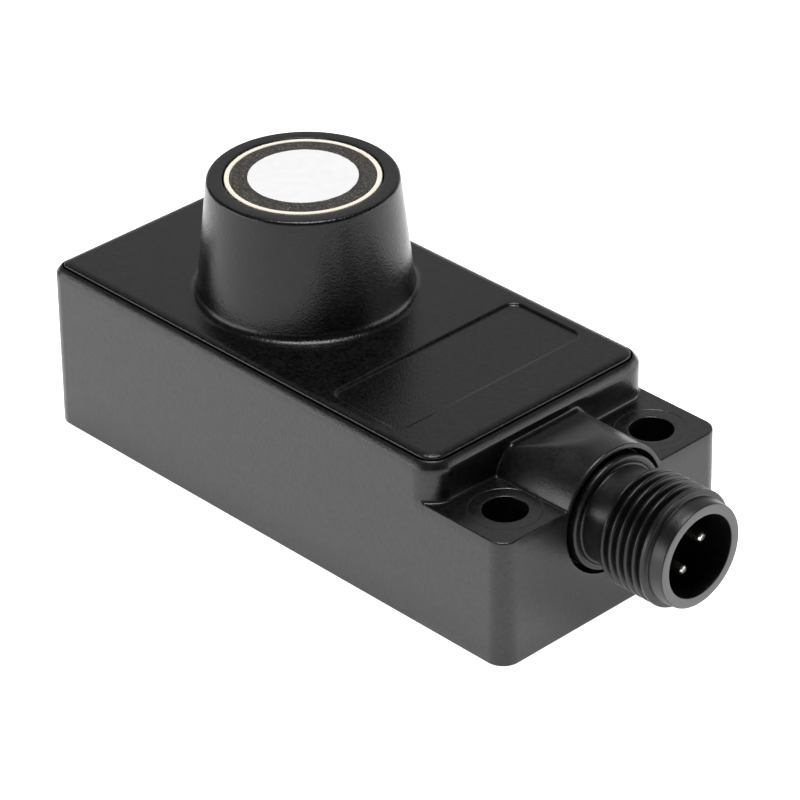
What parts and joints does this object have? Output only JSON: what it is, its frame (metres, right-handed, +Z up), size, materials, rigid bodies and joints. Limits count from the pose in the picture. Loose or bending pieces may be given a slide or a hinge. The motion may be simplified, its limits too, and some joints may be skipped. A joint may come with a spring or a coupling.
{
  "type": "ultrasonic proximity sensor",
  "caption": "Block-shaped ultrasonic proximity sensor: dark moulded housing with two screw ears, black cover with a tapered transducer tower, M12 male connector on the end.",
  "frame": {"origin": "Middle of the flat mounting face under the 65 x 30 mm housing footprint", "axes": "+X along the length of the housing towards the connector; +Y across it; +Z up, away from the mounting face, which is the direction the sensor looks"},
  "size_m": [0.076, 0.03, 0.031],
  "materials": {
    "black_plastic": "black moulded plastic, satin",
    "black_wire": "black wire insulation",
    "blue_wire": "blue wire insulation",
    "board": "green solder mask over glass laminate",
    "brown_wire": "brown wire insulation",
    "capacitor_amber": "amber moulded capacitor body",
    "capacitor_can": "drawn aluminium can",
    "cast_resin": "cast potting resin, black",
    "ceramic": "sintered piezo ceramic, cream",
    "chip_black": "black moulding compound",
    "copper_wire": "enamelled copper winding, warm orange metal",
    "cream_silicone": "cream silicone, matte",
    "damping_resin": "loaded backing resin, dark grey",
    "dark_housing": "moulded glass-filled plastic, fine matte grain, dark grey",
    "ferrite": "dark sintered ferrite",
    "filled_resin": "epoxy filled with glass beads, grainy grey-brown",
    "nickel_plate": "nickel plate, satin",
    "painted_cover": "black powder paint over a zinc casting, semi-gloss with fine orange peel",
    "plated_pin": "plated brass pin, bright silver",
    "red_wire": "red wire insulation",
    "seal_rubber": "black moulded rubber",
    "sensor_bead": "black dipped epoxy bead",
    "white_coating": "white coating, matte",
    "white_wire": "white wire insulation"
  },
  "bodies": {
    "root": {"amplifier_chip": "chip_black", "connector_ring_nut": "nickel_plate", "connector_seal_ring": "seal_rubber", "connector_shell": "black_plastic", "contact_carrier": "black_plastic", "contact_lead_1": "brown_wire", "contact_lead_2": "white_wire", "contact_lead_3": "blue_wire", "contact_lead_4": "black_wire", "contact_pin_1": "plated_pin", "contact_pin_2": "plated_pin", "contact_pin_3": "plated_pin", "contact_pin_4": "plated_pin", "cover_seal": "seal_rubber", "crystal_resonator": "nickel_plate", "damping_block": "damping_resin", "decoupling_sleeve": "cream_silicone", "face_disc": "white_coating", "filter_capacitor": "capacitor_amber", "housing": "dark_housing", "main_circuit_board": "board", "matching_layer": "filled_resin", "microcontroller": "chip_black", "output_transistor": "chip_black", "piezo_disc": "ceramic", "resin_bed": "cast_resin", "storage_capacitor": "capacitor_can", "surge_diode": "chip_black", "temperature_sensor": "sensor_bead", "top_cover": "painted_cover", "transducer_back_cap": "black_plastic", "transducer_lead_1": "red_wire", "transducer_lead_2": "black_wire", "transformer_coil": "copper_wire", "transformer_core": "ferrite", "voltage_regulator": "chip_black"}
  },
  "joints": []
}
